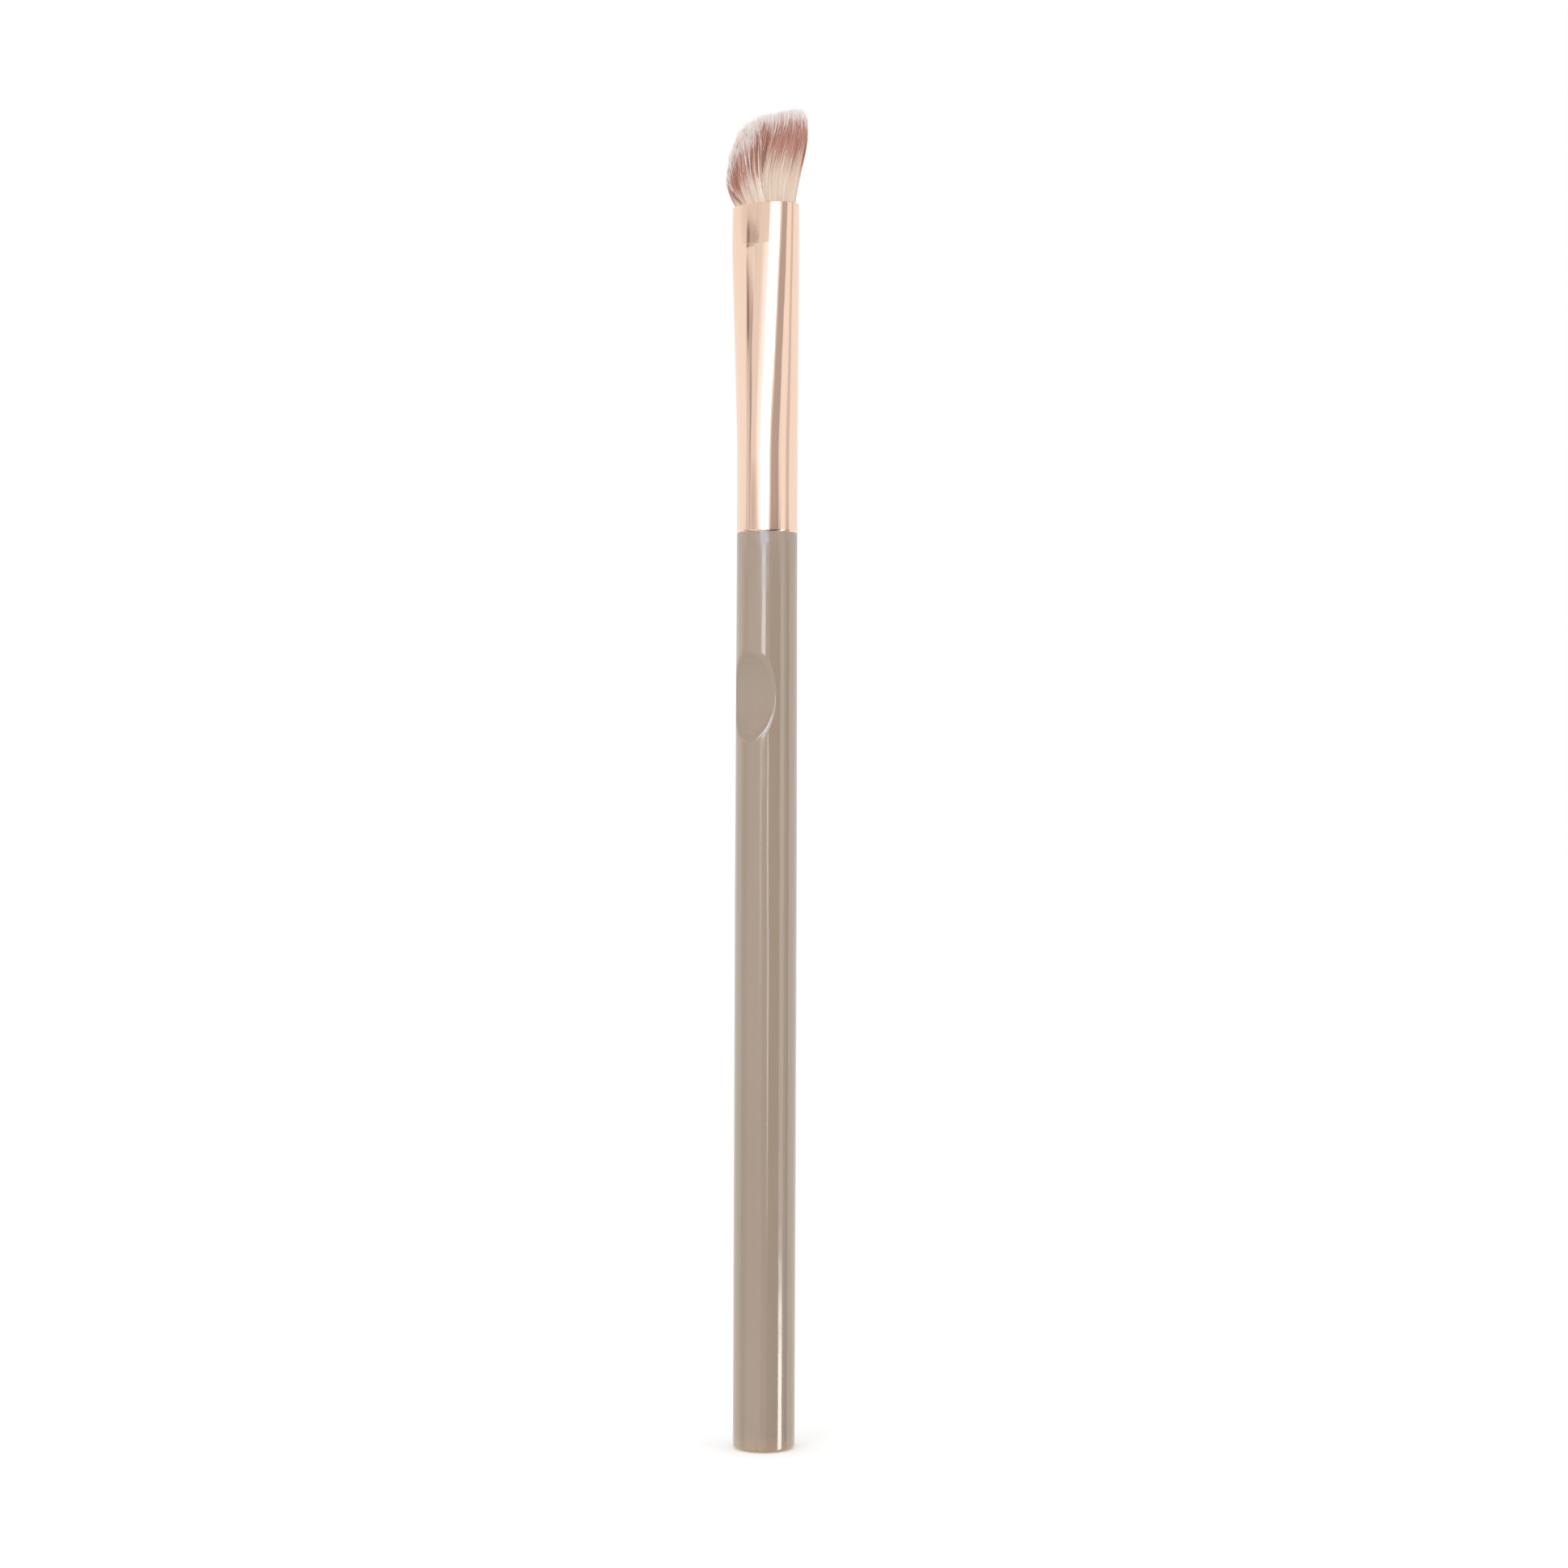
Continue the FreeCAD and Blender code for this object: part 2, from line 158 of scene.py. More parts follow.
# Held roots of the fibres
ROOT_FIBRE_COUNT = 900
ROOT_FIBRE_RADIUS = 0.085 * MM
ROOT_SOWING_JITTER = 0.01
ROOT_UNEVEN = 0.35 * MM
GATHERED_RADIUS = 2.05 * MM
GATHERED_LENGTH = 4 * MM

# View
CAMERA_AZIMUTH = math.radians(36)
CAMERA_DISTANCE = 384 * MM
CAMERA_LEVEL = 82 * MM
CAMERA_SIDE_STEP = 2.2 * MM
CAMERA_ROLL = math.radians(0.217)
CAMERA_LENS = 71.3
TOWARDS_CAMERA = Vector((math.sin(CAMERA_AZIMUTH), -math.cos(CAMERA_AZIMUTH), 0))
CAMERA_RIGHT = Vector((math.cos(CAMERA_AZIMUTH), math.sin(CAMERA_AZIMUTH), 0))
UP = Vector((0, 0, 1))

# Studio, where a reach is an elevation in degrees up to which a piece of the brush shows its surroundings
LAMP_DISTANCE = 0.9
LAMP_SIZE = 0.5
LAMP_ELEVATION = math.radians(15)
FLOOR_SIZE = 6.0
FLOOR_COLOUR = (0.8, 0.8, 0.8)
FLOOR_GLOW = 0.22
AMBIENT_LIGHT = 1.0
WHITE = (1, 1, 1)
GLARE_COLOUR = (0.8, 1.0, 1.4)
SHADE_COLOUR = (1.0, 0.62, 0.55)
LOW_REACH = 4.45
MOUTH_REACH = 13.1
METAL_REACH = 16


def linear(red, green, blue):
    """Scene colour of a screen colour given as 0 to 255."""
    shares = [channel / 255 for channel in (red, green, blue)]
    return tuple(s / 12.92 if s <= 0.04045 else ((s + 0.055) / 1.055) ** 2.4 for s in shares)


def grey(level):
    """Scene colour without a hue."""
    return (level, level, level)


def smooth_step(values, start, end):
    """Rises smoothly from 0 at start to 1 at end."""
    share = np.clip((values - start) / (end - start), 0, 1)
    return share * share * (3 - 2 * share)


# Meshes

def add_mesh(name, points, faces):
    """Smooth-shaded object made of points and faces."""
    mesh = bpy.data.meshes.new(name)
    mesh.from_pydata(points.tolist(), [], faces)
    mesh.update()
    mesh.polygons.foreach_set("use_smooth", [True] * len(mesh.polygons))
    item = bpy.data.objects.new(name, mesh)
    bpy.context.scene.collection.objects.link(item)
    return item


def skin_rings(name, rings, loop=False):
    """Object with quads over a stack of rings of points. The stack loops, or a fan closes each end."""
    count, around, _ = rings.shape
    points = rings.reshape(-1, 3)
    index = np.arange(count * around).reshape(count, around)
    lower = index if loop else index[:-1]
    upper = np.roll(index, -1, axis=0) if loop else index[1:]
    corners = [lower, np.roll(lower, -1, axis=1), np.roll(upper, -1, axis=1), upper]
    faces = np.stack(corners, axis=-1).reshape(-1, 4).tolist()
    if not loop:
        first, last = len(points), len(points) + 1
        points = np.vstack([points, rings[0].mean(axis=0), rings[-1].mean(axis=0)])
        faces += [[first, b, a] for a, b in zip(index[0], np.roll(index[0], -1))]
        faces += [[last, a, b] for a, b in zip(index[-1], np.roll(index[-1], -1))]
    item = add_mesh(name, points, faces)
    item.data.set_sharp_from_angle(angle=SHARP_ANGLE)
    return item


def arc(centre_radius, centre_level, radius, start, end, steps):
    """Outline points, as radius and level, on a round corner. Angles are in degrees from outwards to up."""
    angles = np.radians(np.linspace(start, end, steps))
    return [(centre_radius + radius * math.cos(a), centre_level + radius * math.sin(a)) for a in angles]


def straight(start, end, step):
    """Outline points from one point to another, both left out, no further apart than the step."""
    start, end = np.array(start), np.array(end)
    count = max(1, math.ceil(np.linalg.norm(end - start) / step))
    return [tuple(start + (end - start) * share) for share in np.arange(1, count) / count]


def on_taper(level):
    """Outline point of the handle at a level: straight at first, then tapering to the shoulder."""
    share = max(0, (level - STRAIGHT_LENGTH) / (EDGE_LEVEL - STRAIGHT_LENGTH))
    return HANDLE_RADIUS + (SHOULDER_RADIUS - HANDLE_RADIUS) * share, level


def handle_outline():
    """Half section of the handle with its tenon, from near the middle of the butt up."""
    flat_start = (BUTT_STEP / 2, 0)
    flat_end = (HANDLE_RADIUS - BUTT_ROUNDING, 0)
    scoop_low = on_taper(SCOOP_LEVEL - SCOOP_LENGTH * 0.6)
    scoop_high = on_taper(SCOOP_LEVEL + SCOOP_LENGTH * 0.6)
    shoulder_level = EDGE_LEVEL - SHOULDER_ROUNDING
    tenon_start = (TENON_RADIUS, EDGE_LEVEL)
    tenon_end = (TENON_RADIUS, TENON_TOP - TENON_CHAMFER)

    points = [flat_start]
    points += straight(flat_start, flat_end, BUTT_STEP)
    points += arc(flat_end[0], BUTT_ROUNDING, BUTT_ROUNDING, -90, 0, 14)
    points += straight((HANDLE_RADIUS, BUTT_ROUNDING), (HANDLE_RADIUS, STRAIGHT_LENGTH), HANDLE_STEP)
    points.append((HANDLE_RADIUS, STRAIGHT_LENGTH))
    points += straight(on_taper(STRAIGHT_LENGTH), scoop_low, HANDLE_STEP)
    points += straight(scoop_low, scoop_high, SCOOP_STEP)
    points += straight(scoop_high, on_taper(shoulder_level), HANDLE_STEP)
    points += arc(SHOULDER_RADIUS - SHOULDER_ROUNDING, shoulder_level, SHOULDER_ROUNDING, 0, 90, 5)
    points.append(tenon_start)
    points += straight(tenon_start, tenon_end, TENON_STEP)
    points += [tenon_end, (TENON_RADIUS - TENON_CHAMFER, TENON_TOP)]
    return np.array(points)


def scoop_floor(levels):
    """Distance of the scoop's floor from the handle's axis at each level."""
    surface, _ = on_taper(SCOOP_LEVEL)
    radius = (SCOOP_LENGTH ** 2 / 4 + SCOOP_DEPTH ** 2) / (2 * SCOOP_DEPTH)
    centre = surface - SCOOP_DEPTH + radius
    return centre - np.sqrt(np.maximum(radius ** 2 - (levels - SCOOP_LEVEL) ** 2, 0))


def nick_share(radii, levels, angles):
    """How deep the small nick in the butt's edge is at each point, from 0 to 1."""
    away = np.abs(angles - NICK_ANGLE) * HANDLE_RADIUS
    at_angle = 1 - smooth_step(away, 0, NICK_WIDTH)
    at_level = 1 - smooth_step(levels, 0, 2 * BUTT_ROUNDING)
    at_edge = smooth_step(radii, HANDLE_RADIUS - 3 * BUTT_ROUNDING, HANDLE_RADIUS - BUTT_ROUNDING)
    return at_angle * at_level * at_edge


def make_handle():
    """Handle with its rounded butt, a small nick in it, and the thumb scoop with a soft rim."""
    outline = handle_outline()
    radii, levels = outline[:, :1], outline[:, 1:]
    angles = np.arange(HANDLE_SEGMENTS) * 2 * math.pi / HANDLE_SEGMENTS
    radii = radii - NICK_DEPTH * nick_share(radii, levels, angles)
    across = radii * np.sin(angles)
    front = radii * np.cos(angles)
    floor = scoop_floor(levels)
    near_rim = np.maximum(SCOOP_RIM - np.abs(front - floor), 0) / SCOOP_RIM
    scooped = np.minimum(front, floor) - near_rim ** 3 * SCOOP_RIM / 6
    between_ends = (levels < EDGE_LEVEL - 2 * SHOULDER_ROUNDING) & (levels > 2 * BUTT_ROUNDING)
    front = np.where(between_ends & (front > 0), scooped, front)
    rings = np.stack([across, -front, np.broadcast_to(levels, front.shape)], axis=-1)
    return skin_rings("handle_lacquered", rings)


def pressed_share(levels):
    """How far the ferrule has gone from round to its oval mouth: a straight taper with eased ends."""
    start, end = ROUND_TOP, MOUTH_LEVEL - PRESSED_LENGTH
    share = (levels - start) / (end - start)
    ease_low, ease_high = 0.12, 0.025
    low = np.where(share < ease_low, (share + ease_low) ** 2 / (4 * ease_low), share)
    low = np.where(share < -ease_low, 0, low)
    high = np.where(share > 1 - ease_high, 1 - (1 + ease_high - share) ** 2 / (4 * ease_high), low)
    return np.where(share > 1 + ease_high, 1, high)


def ferrule_rings(levels, inset):
    """Rings of the ferrule at some levels, that far inside its outer wall."""
    share = pressed_share(levels)[:, None]
    turned = np.clip((EDGE_LEVEL + TURNED_HEIGHT - levels[:, None]) / TURNED_HEIGHT, 0, 1) ** 2
    pinched = np.clip((levels[:, None] - MOUTH_LEVEL) / PRESSED_LENGTH + 1, 0, 1) ** 1.1
    pinch = (KNEE_HALF_THICKNESS - MOUTH_HALF_THICKNESS) * pinched
    inset = inset[:, None] + turned * TURNED_DEPTH
    half_width = ROUND_RADIUS + (MOUTH_HALF_WIDTH - ROUND_RADIUS) * share - inset
    half_thickness = ROUND_RADIUS + (KNEE_HALF_THICKNESS - ROUND_RADIUS) * share - inset - pinch
    power = 2 / (2 + (MOUTH_SQUARENESS - 2) * share)
    angles = np.arange(FERRULE_SEGMENTS) * 2 * math.pi / FERRULE_SEGMENTS
    cosine, sine = np.cos(angles), np.sin(angles)
    x = half_width * np.sign(cosine) * np.abs(cosine) ** power + MOUTH_LEAN * share
    y = half_thickness * np.sign(sine) * np.abs(sine) ** power
    return np.stack([x, y, np.broadcast_to(levels[:, None], x.shape)], axis=-1)


def make_ferrule():
    """Drawn tube with a turned-in lower edge and a knee where it is pressed oval."""
    knee = MOUTH_LEVEL - PRESSED_LENGTH
    turned_top = EDGE_LEVEL + TURNED_HEIGHT
    tube_start = turned_top + 0.1 * MM
    stretches = [
        (EDGE_LEVEL, turned_top, 8),
        (turned_top, tube_start, 2),
        (tube_start, ROUND_TOP - 4 * MM, 12),
        (ROUND_TOP - 4 * MM, ROUND_TOP + 4 * MM, 40),
        (ROUND_TOP + 4 * MM, knee - 2 * MM, 50),
        (knee - 2 * MM, knee + 2 * MM, 60),
        (knee + 2 * MM, MOUTH_LEVEL, 24),
    ]
    outer = np.concatenate([np.linspace(low, high, count, endpoint=False) for low, high, count in stretches])
    outer = np.append(outer, MOUTH_LEVEL)
    inner = np.linspace(MOUTH_LEVEL, EDGE_LEVEL, 60)
    levels = np.concatenate([outer, inner])
    insets = np.repeat([0, FERRULE_WALL], [len(outer), len(inner)])
    return skin_rings("ferrule_tube", ferrule_rings(levels, insets), loop=True)


# Fibres

def track(values):
    """Smooth curve through the values at the track levels."""
    return np.poly1d(np.polyfit(TRACK_LEVELS, values, len(TRACK_LEVELS) - 1))


LEAN_TRACK = track(TRACK_LEANS)
WIDTH_TRACK = track(TRACK_HALF_WIDTHS)
THICKNESS_TRACK = track(TRACK_HALF_THICKNESSES)


def sow(count, rng, jitter):
    """Places spread evenly over a unit disc, a little disturbed."""
    number = np.arange(count)
    spread = np.sqrt((number + 0.5) / count)
    turn = number * GOLDEN_ANGLE
    places = np.stack([spread * np.cos(turn), spread * np.sin(turn)], axis=-1)
    places += rng.normal(0, jitter, places.shape)
    return places / np.maximum(np.linalg.norm(places, axis=1) / 0.99, 1)[:, None]


def fibre_points(places, heights):
    """Points on the fibres that start at those places, at heights above the mouth."""
    free = np.maximum(heights, 0)
    x = LEAN_TRACK(free) + places[:, :1] * WIDTH_TRACK(free)
    y = places[:, 1:] * THICKNESS_TRACK(free)
    return np.stack([x, y, heights + MOUTH_LEVEL], axis=-1)


def form_heights(places):
    """Height at which each fibre leaves the form of the tuft."""
    heights = np.linspace(SHORTEST_FIBRE, TUFT_LEVELS[-1], LENGTH_STEPS)
    heights = np.broadcast_to(heights, (len(places), LENGTH_STEPS))
    points = fibre_points(places, heights)
    lean = np.interp(heights, TUFT_LEVELS, TUFT_LEANS)
    half_width = np.interp(heights, TUFT_LEVELS, TUFT_HALF_WIDTHS)
    half_thickness = np.interp(heights, TUFT_LEVELS, TUFT_HALF_THICKNESSES)
    inside = ((points[..., 0] - lean) / half_width) ** 2 + (points[..., 1] / half_thickness) ** 2 < 1
    return np.where(inside, heights, heights[:, :1]).max(axis=1)


def nearest_wisp(places, rng):
    """For each fibre, the place and the tint of the wisp whose fibres it leans to."""
    count = max(2, len(places) // FIBRES_IN_A_WISP)
    wisps = places[rng.choice(len(places), count, replace=False)]
    gaps = np.linalg.norm(places[:, None] - wisps[None], axis=-1)
    nearest = gaps.argmin(axis=1)
    return wisps[nearest], rng.uniform(0, 1, count)[nearest]


def choose_front(places, rng):
    """Which fibres belong to the loose ones in front of the parting."""
    chance = smooth_step(-places[:, 1], 0.3, 0.6) * (1 - smooth_step(places[:, 0], 0.28, 0.44))
    return rng.uniform(0, 1, len(places)) < chance


def fibre_lengths(places, front, rng):
    """Uneven heights of the fibres' tips above the mouth. The fibres in front are shorter."""
    count = len(places)
    longest = LONGEST_FIBRE - np.abs(rng.normal(0, TOP_UNEVEN, count))
    lengths = np.minimum(form_heights(places) + rng.normal(0, LENGTH_UNEVEN, count), longest)
    shorter = FRONT_SHORTER * front * smooth_step(places[:, 0], -1, 0)
    return lengths - shorter * rng.uniform(0.4, 1.6, count)


def fibre_paths(places, wisps, front, lengths, rng):
    """Paths of fibres that lean to their wisps, sway, stray towards their tips and splay in front."""
    count = len(places)
    along = np.linspace(0, 1, FIBRE_RINGS)
    heights = -FIBRE_SINK + (lengths[:, None] + FIBRE_SINK) * along
    free = np.clip(heights / lengths[:, None], 0, 1)
    paths = fibre_points(places, heights)
    pull = WISP_PULL * free ** 1.5
    paths += (fibre_points(wisps, heights) - paths) * pull[..., None]

    phase = rng.uniform(0, 2 * math.pi, (count, 2, 1))
    waves = rng.uniform(0.4, 1.1, (count, 2, 1))
    sway = rng.normal(0, SWAY, (count, 2, 1))
    sway = sway * free[:, None] * np.sin(phase + 2 * math.pi * waves * free[:, None])
    stray = rng.normal(0, 1, (count, 2))
    far = rng.uniform(0, 1, (count, 1)) < FAR_STRAY_SHARE
    stray = stray * np.where(far, FAR_STRAY, STRAY)
    paths[..., :2] += sway.transpose(0, 2, 1) + stray[:, None] * free[..., None] ** 2
    splay = FRONT_SPLAY * front * smooth_step(places[:, 0], -1.1, 0.5)
    paths[..., 0] -= splay[:, None] * free ** 1.3
    return paths


def distances_from_tip(paths):
    """Distance of each point from the end of its path, along the path."""
    steps = np.linalg.norm(np.diff(paths, axis=1), axis=-1)
    distances = np.cumsum(steps[:, ::-1], axis=1)[:, ::-1]
    return np.concatenate([distances, np.zeros((len(paths), 1))], axis=1)


def fibre_tints(wisp_tints, rng):
    """Tint of each fibre, drawn towards its wisp's, and which fibres are bold: thick, and dark or light.
    Dark tints partly paint the shade between fibres.
    """
    count = len(wisp_tints)
    tints = 0.5 + TINT_SPREAD * rng.normal(0, 1, count) + WISP_TINT_SPREAD * (wisp_tints - 0.5)
    bold = rng.uniform(0, 1, count) < BOLD_SHARE
    dark = rng.uniform(0, 1, count) < 0.5
    bold_tints = np.where(dark, DARK_BOLD_TINT, LIGHT_BOLD_TINT)
    return np.where(bold, bold_tints, np.clip(tints, 0.01, 0.99)), bold


def colour_distances(places, front, lengths, tip_distances, rng):
    """Distances from the tip that set the colour.

    They are uneven from fibre to fibre. Some fibres in front stay pale far down, and a short fibre goes
    through its colours faster, so that its foot is cream too.
    """
    count = len(places)
    chosen = rng.uniform(0, 1, count) < PALE_SHARE
    pale = front * smooth_step(places[:, 0], -0.5, 0.05) * chosen * PALENESS
    below_tip = np.clip(tip_distances / COLOUR_FIXED_TIP, 0, 1)
    shift = rng.normal(0, COLOUR_UNEVEN, (count, 1)) * below_tip
    faster = np.maximum(1, FULL_COLOUR_LENGTH / lengths)
    return (tip_distances + shift) * ((1 - pale) * faster)[:, None]


def skin_fibres(name, paths, radii, tints, distances):
    """One mesh of thin closed tubes along the paths.

    Its map holds each fibre's own tint across, and up it the distance that sets the colour.
    """
    fibres, rings, _ = paths.shape
    angles = np.arange(FIBRE_SIDES) * 2 * math.pi / FIBRE_SIDES
    ring = np.stack([np.cos(angles), np.sin(angles), 0 * angles], axis=-1)
    tubes = paths[:, :, None] + radii[..., None, None] * ring
    tips = paths[:, -1:] + (paths[:, -1:] - paths[:, -2:-1]) * 0.05
    points = np.concatenate([tubes.reshape(fibres, -1, 3), tips], axis=1)
    per_fibre = points.shape[1]

    index = np.arange(rings * FIBRE_SIDES).reshape(rings, FIBRE_SIDES)
    turned = np.roll(index, -1, axis=1)
    sides = np.stack([index[:-1], turned[:-1], turned[1:], index[1:]], axis=-1).reshape(-1, 4)
    cap = np.stack([index[-1], turned[-1], np.full(FIBRE_SIDES, per_fibre - 1)], axis=-1)
    foot = index[0][::-1]
    faces = []
    for start in range(0, fibres * per_fibre, per_fibre):
        faces += (sides + start).tolist()
        faces += (cap + start).tolist()
        faces.append((foot + start).tolist())
    item = add_mesh(name, points.reshape(-1, 3), faces)

    at_tips = np.zeros((fibres, 1))
    distances = np.concatenate([np.repeat(distances, FIBRE_SIDES, axis=1), at_tips], axis=1)
    share = np.clip(distances / COLOUR_REACH, MAP_MARGIN, 1 - MAP_MARGIN).reshape(-1)
    spots = np.stack([np.repeat(tints, per_fibre), share], axis=-1).astype(np.float32)
    corner_points = np.zeros(len(item.data.loops), dtype=np.int32)
    item.data.loops.foreach_get("vertex_index", corner_points)
    layer = item.data.uv_layers.new(name=FIBRE_MAP)
    layer.data.foreach_set("uv", spots[corner_points].ravel())
    return item


def make_lock_fibres(number, places, rng):
    """Fibres of one lock: they follow the form of the tuft, lean together in wisps and end unevenly."""
    wisps, wisp_tints = nearest_wisp(places, rng)
    front = choose_front(places, rng)
    lengths = fibre_lengths(places, front, rng)
    paths = fibre_paths(places, wisps, front, lengths, rng)
    tip_distances = distances_from_tip(paths)
    tints, bold = fibre_tints(wisp_tints, rng)
    below_tip = np.clip(tip_distances / FIBRE_TAPER, 0, 1) ** 0.7
    radii = FIBRE_RADIUS * (TIP_THICKNESS + (1 - TIP_THICKNESS) * below_tip)
    radii *= 1 + BOLD_THICKER * bold[:, None]
    distances = colour_distances(places, front, lengths, tip_distances, rng)
    return skin_fibres(f"fibres_{number}", paths, radii, tints, distances)


def make_held_fibres():
    """Roots of the fibres inside the ferrule: gathered round below, spread to the mouth above."""
    rng = np.random.default_rng(FIBRE_SEED)
    places = sow(ROOT_FIBRE_COUNT, rng, ROOT_SOWING_JITTER)
    bottom, top = ROOT_BOX[0].z, ROOT_BOX[1].z
    levels = np.array([bottom, bottom + GATHERED_LENGTH, MOUTH_LEVEL - PRESSED_LENGTH, MOUTH_LEVEL, top])
    shares = np.array([0, 0, 1, 1, 1])
    half_width = GATHERED_RADIUS + (ROOT_HALF_WIDTH - ROOT_FIBRE_RADIUS - GATHERED_RADIUS) * shares
    half_thickness = GATHERED_RADIUS + (ROOT_HALF_THICKNESS - ROOT_FIBRE_RADIUS - GATHERED_RADIUS) * shares
    x = MOUTH_LEAN * shares + places[:, :1] * half_width
    y = places[:, 1:] * half_thickness
    uneven = rng.uniform(-ROOT_UNEVEN, 0, (ROOT_FIBRE_COUNT, 1)) * (levels == top)
    paths = np.stack([x, y, np.broadcast_to(levels, x.shape) + uneven], axis=-1)
    radii = np.full(x.shape, ROOT_FIBRE_RADIUS)
    tints = rng.uniform(0.2, 0.8, ROOT_FIBRE_COUNT)
    return skin_fibres("fibre_roots", paths, radii, tints, np.full(x.shape, COLOUR_REACH))


def make_tuft():
    """Fibres sorted into locks by the side of the mouth that they start from."""
    rng = np.random.default_rng(FIBRE_SEED)
    places = sow(FIBRE_COUNT, rng, SOWING_JITTER)
    boxes = [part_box(f"tuft_lock_{number}") for number in range(1, LOCK_COUNT + 1)]
    planes = [(left[1].x + right[0].x) / 2 for left, right in zip(boxes, boxes[1:])]
    lock_of = np.searchsorted(planes, MOUTH_LEAN + places[:, 0] * ROOT_HALF_WIDTH)
    return [make_lock_fibres(lock + 1, places[lock_of == lock], rng) for lock in range(LOCK_COUNT)]


# Node trees

class Nodes:
    """A node tree under construction, with short calls for its nodes."""

    def __init__(self, owner):
        owner.use_nodes = True
        self.tree = owner.node_tree

    def put(self, socket, value):
        """Feeds a socket with another node's output, a colour or a number."""
        if isinstance(value, bpy.types.NodeSocket):
            self.tree.links.new(value, socket)
        elif socket.type == "RGBA":
            socket.default_value = (*value, 1)
        else:
            socket.default_value = value

    def fill(self, node, inputs):
        """Feeds a node's inputs by name, with underscores for spaces."""
        for name, value in inputs.items():
            self.put(node.inputs[name.replace("_", " ")], value)

    def node(self, kind, settings=None, **inputs):
        """New node with its settings and inputs."""
        made = self.tree.nodes.new(kind)
        for name, value in (settings or {}).items():
            setattr(made, name, value)
        self.fill(made, inputs)
        return made

    def math(self, operation, *values):
        """Sum, product or other operation on one or two numbers."""
        made = self.node("ShaderNodeMath", {"operation": operation})
        for socket, value in zip(made.inputs, values):
            self.put(socket, value)
        return made.outputs[0]

    def remap(self, value, low, high, to_low, to_high, curve="LINEAR"):
        """Value carried from one range to another and kept inside it."""
        limits = {"From_Min": low, "From_Max": high, "To_Min": to_low, "To_Max": to_high}
        made = self.node("ShaderNodeMapRange", {"interpolation_type": curve}, Value=value, **limits)
        return made.outputs["Result"]

    def mix_numbers(self, share, first, second):
        """First number at share 0, second at share 1."""
        made = self.node("ShaderNodeMix", {"data_type": "FLOAT"})
        for place, value in zip((0, 2, 3), (share, first, second)):
            self.put(made.inputs[place], value)
        return made.outputs[0]

    def mix_colours(self, share, first, second, blend="MIX"):
        """First colour at share 0, blended with the second at share 1."""
        made = self.node("ShaderNodeMix", {"data_type": "RGBA", "blend_type": blend})
        for place, value in zip((0, 6, 7), (share, first, second)):
            self.put(made.inputs[place], value)
        return made.outputs[2]


# Materials

class Shader(Nodes):
    """A material under construction."""

    def __init__(self, name):
        self.material = bpy.data.materials.new(name)
        super().__init__(self.material)

    def place(self):
        """Place on the object, in metres."""
        return self.node("ShaderNodeTexCoord").outputs["Object"]

    def noise(self, scale, detail=2.0, stretch=(1, 1, 1)):
        """Noise over the object's own place, in features per metre, stretched along an axis."""
        mapped = self.node("ShaderNodeMapping", Vector=self.place(), Scale=stretch)
        noise = self.node("ShaderNodeTexNoise", Vector=mapped.outputs["Vector"], Scale=scale, Detail=detail)
        return noise.outputs["Fac"]

    def ramp(self, value, stops):
        """Colours along a value from 0 to 1."""
        ramp = self.node("ShaderNodeValToRGB", Fac=value)
        elements = ramp.color_ramp.elements
        while len(elements) < len(stops):
            elements.new(0.5)
        for element, (position, colour) in zip(elements, stops):
            element.position = position
            element.color = (*colour, 1)
        return ramp.outputs["Color"]

    def bump(self, height, strength, distance):
        """Normal of a finely uneven surface."""
        bump = self.node("ShaderNodeBump", Height=height, Strength=strength, Distance=distance)
        return bump.outputs["Normal"]

    def finish(self, **inputs):
        """Material with these inputs of its surface."""
        self.fill(self.tree.nodes["Principled BSDF"], inputs)
        return self.material


def dust_specks(shader):
    """Near 1 on a few small specks and 0 elsewhere."""
    cells = shader.node("ShaderNodeTexVoronoi", Vector=shader.place(), Scale=190.0)
    near = shader.remap(cells.outputs["Distance"], 0.03, 0.05, 1.0, 0.0)
    chance = shader.node("ShaderNodeSeparateColor", Color=cells.outputs["Color"]).outputs[0]
    rare = shader.remap(chance, 0.9, 0.92, 0.0, 0.8)
    return shader.math("MULTIPLY", near, rare)


def scoop_satin(shader):
    """Extra roughness well inside the handle's round surface: on the floor of the scoop."""
    flat_place = shader.node("ShaderNodeMapping", Vector=shader.place(), Scale=(1, 1, 0)).outputs["Vector"]
    length = shader.node("ShaderNodeVectorMath", {"operation": "LENGTH"}, Vector=flat_place)
    from_axis = length.outputs["Value"]
    return shader.remap(from_axis, SHOULDER_RADIUS - 0.4 * MM, SHOULDER_RADIUS - 0.1 * MM, 0.22, 0.0)


def make_lacquer():
    """Glossy taupe: faintly mottled, with dust specks, a warmer and lighter rim at the butt and a satin
    scoop.
    """
    shader = Shader("lacquer")
    mottle = shader.noise(140, detail=3, stretch=(1, 1, 0.25))
    base = shader.ramp(mottle, [(0.3, linear(156, 138, 121)), (0.7, linear(161, 143, 126))])
    level = shader.node("ShaderNodeSeparateXYZ", Vector=shader.place()).outputs["Z"]
    # Warmer and lighter towards the edge of the butt
    rim = shader.remap(level, 0.0, 2.2 * MM, 0.75, 0.0)
    warm = shader.mix_colours(rim, base, linear(182, 155, 124))
    colour = shader.mix_colours(dust_specks(shader), warm, linear(214, 200, 182))
    grain = shader.remap(shader.noise(420), 0.3, 0.7, 0.05, 0.11)
    waves = shader.noise(260, stretch=(1, 1, 0.35))
    return shader.finish(
        Base_Color=colour,
        Roughness=shader.math("ADD", scoop_satin(shader), grain),
        Specular_IOR_Level=1.0,
        Normal=shader.bump(waves, 0.06, 0.6 * MM),
    )


